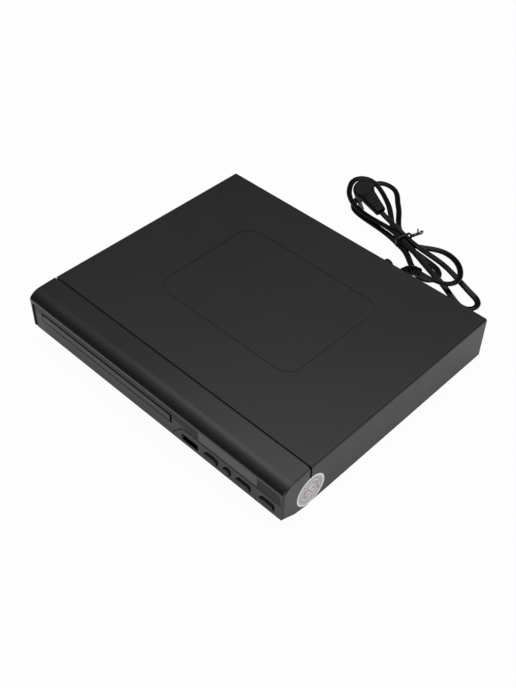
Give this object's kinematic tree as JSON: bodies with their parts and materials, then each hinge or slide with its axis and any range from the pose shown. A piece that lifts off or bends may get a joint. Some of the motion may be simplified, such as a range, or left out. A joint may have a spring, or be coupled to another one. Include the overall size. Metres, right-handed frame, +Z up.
{
  "type": "disc player",
  "caption": "Compact disc player with a motorised tray, front keys and USB socket, rear sockets and a tied mains cord with a moulded plug.",
  "frame": {"origin": "under the middle of the case, on the surface that its feet stand on", "axes": "+X to the right seen from the front, +Y to the rear, -Y is the front with the tray and keys, +Z up"},
  "size_m": [0.2351, 0.3119, 0.037],
  "materials": {
    "cover": "matt, fine texture",
    "zinc": "plain plated sheet",
    "rear_paint": "matt",
    "rubber_black": "matt",
    "screw_steel": "dark zinc",
    "label_silver": "satin film",
    "bezel_black": "fine satin",
    "piano_black": "polished",
    "window_smoke": "polished, smoked",
    "key_black": "satin",
    "tray_black": "moulded",
    "gear_white": "moulded",
    "motor_steel": "plated",
    "rod_steel": "ground",
    "traverse_steel": "matt",
    "hub_black": "matt",
    "sled_black": "moulded",
    "lens_clear": "polished",
    "board_green": "lacquered",
    "board_brown": "bare laminate",
    "chip_black": "moulded",
    "can_blue": "sleeve",
    "coil_yellow": "tape and ferrite",
    "ribbon_white": "flat lead",
    "jack_black": "moulded",
    "jack_tin": "tinned",
    "jack_colour": "moulded",
    "cord_black": "smooth flexible sheath",
    "tie_black": "plastic-coated wire tie"
  },
  "bodies": {
    "case": {"base_pan": "zinc", "board_standoffs": "zinc", "bulk_capacitor": "can_blue", "clamp_bridge": "zinc", "cord_bush": "cord_black", "cord_hank": "cord_black", "cord_lead": "cord_black", "display_module": "chip_black", "display_window": "window_smoke", "drive_belt": "rubber_black", "feet": "rubber_black", "front_bezel": "bezel_black", "front_board": "board_green", "front_ribbon": "ribbon_white", "glossy_strip": "piano_black", "hdmi_socket": "jack_tin", "heat_sink": "zinc", "ir_receiver": "chip_black", "jack_body": "jack_black", "jack_inserts": "jack_colour", "jack_sleeves": "jack_tin", "key_panel": "bezel_black", "key_switches": "chip_black", "loader_frame": "tray_black", "loading_motor": "motor_steel", "main_board": "board_green", "main_capacitors": "can_blue", "main_chips": "chip_black", "plug_blades": "jack_tin", "plug_body": "cord_black", "power_board": "board_brown", "power_parts": "coil_yellow", "rear_panel": "rear_paint", "screws": "screw_steel", "side_seal": "label_silver", "top_cover": "cover", "transformer": "coil_yellow", "twist_tie": "tie_black", "usb_socket": "jack_tin"},
    "tray": {"disc_tray": "tray_black", "tray_door": "piano_black"},
    "drive_gear_body": {"drive_gear": "gear_white"},
    "belt_wheel_body": {"belt_wheel": "gear_white"},
    "motor_pulley_body": {"motor_pulley": "gear_white"},
    "traverse": {"traverse_frame": "traverse_steel", "spindle_motor": "motor_steel", "guide_rods": "rod_steel", "sled_motor": "motor_steel"},
    "turntable_body": {"turntable": "hub_black"},
    "sled": {"pickup_sled": "sled_black", "pickup_lens": "lens_clear"},
    "lead_screw_body": {"lead_screw": "rod_steel"},
    "cam": {"cam_slider": "tray_black"},
    "clamper_body": {"clamper": "gear_white", "clamp_magnet": "rod_steel"},
    "power_key": {"power_button": "key_black"},
    "play_key": {"play_button": "key_black"},
    "stop_key": {"stop_button": "key_black"},
    "eject_key": {"eject_button": "key_black"}
  },
  "joints": [
    {"name": "tray_slide", "type": "slide", "parent": "case", "child": "tray", "axis": [0, -1, 0], "range_m": [0, 0.125]},
    {"name": "drive_gear_spin", "type": "hinge", "parent": "case", "child": "drive_gear_body", "pos_m": [0.0068, -0.0676, 0.012], "axis": [0, 0, 1], "range_deg": [-1200, 0]},
    {"name": "belt_wheel_spin", "type": "hinge", "parent": "case", "child": "belt_wheel_body", "pos_m": [-0.0092, -0.0676, 0.012], "axis": [0, 0, 1], "range_deg": [0, 2000]},
    {"name": "motor_pulley_spin", "type": "hinge", "parent": "case", "child": "motor_pulley_body", "pos_m": [-0.0362, -0.0676, 0.012], "axis": [0, 0, 1], "range_deg": [0, 7600]},
    {"name": "traverse_tilt", "type": "hinge", "parent": "case", "child": "traverse", "pos_m": [-0.0417, 0.037, 0.0085], "axis": [-1, 0, 0], "range_deg": [0, 4.2]},
    {"name": "cam_slide", "type": "slide", "parent": "case", "child": "cam", "axis": [-1, 0, 0], "range_m": [0, 0.0161]},
    {"name": "turntable_spin", "type": "hinge", "parent": "traverse", "child": "turntable_body", "pos_m": [-0.0417, -0.034, 0.012], "axis": [0, 0, 1], "continuous": true},
    {"name": "sled_slide", "type": "slide", "parent": "traverse", "child": "sled", "axis": [0, 1, 0], "range_m": [0, 0.03]},
    {"name": "lead_screw_spin", "type": "hinge", "parent": "traverse", "child": "lead_screw_body", "pos_m": [-0.0103, 0, 0.0092], "axis": [0, 1, 0], "range_deg": [-3610, 0]},
    {"name": "clamper_spin", "type": "hinge", "parent": "case", "child": "clamper_body", "pos_m": [-0.0417, -0.034, 0.025], "axis": [0, 0, 1], "continuous": true},
    {"name": "power_press", "type": "slide", "parent": "case", "child": "power_key", "axis": [0, 1, 0], "range_m": [0, 0.0006], "stiffness_N_per_m": 500, "springref_m": -0.0002},
    {"name": "play_press", "type": "slide", "parent": "case", "child": "play_key", "axis": [0, 1, 0], "range_m": [0, 0.0006], "stiffness_N_per_m": 500, "springref_m": -0.0002},
    {"name": "stop_press", "type": "slide", "parent": "case", "child": "stop_key", "axis": [0, 1, 0], "range_m": [0, 0.0006], "stiffness_N_per_m": 500, "springref_m": -0.0002},
    {"name": "eject_press", "type": "slide", "parent": "case", "child": "eject_key", "axis": [0, 1, 0], "range_m": [0, 0.0006], "stiffness_N_per_m": 500, "springref_m": -0.0002}
  ],
  "couplings": [
    {"joint": "drive_gear_spin", "follows": "tray_slide", "rad_per_m": -166.67},
    {"joint": "belt_wheel_spin", "follows": "tray_slide", "rad_per_m": 277.78},
    {"joint": "motor_pulley_spin", "follows": "tray_slide", "rad_per_m": 1055.6},
    {"joint": "cam_slide", "follows": "traverse_tilt", "m_per_rad": 0.21827},
    {"joint": "lead_screw_spin", "follows": "sled_slide", "rad_per_m": -2094.4}
  ]
}
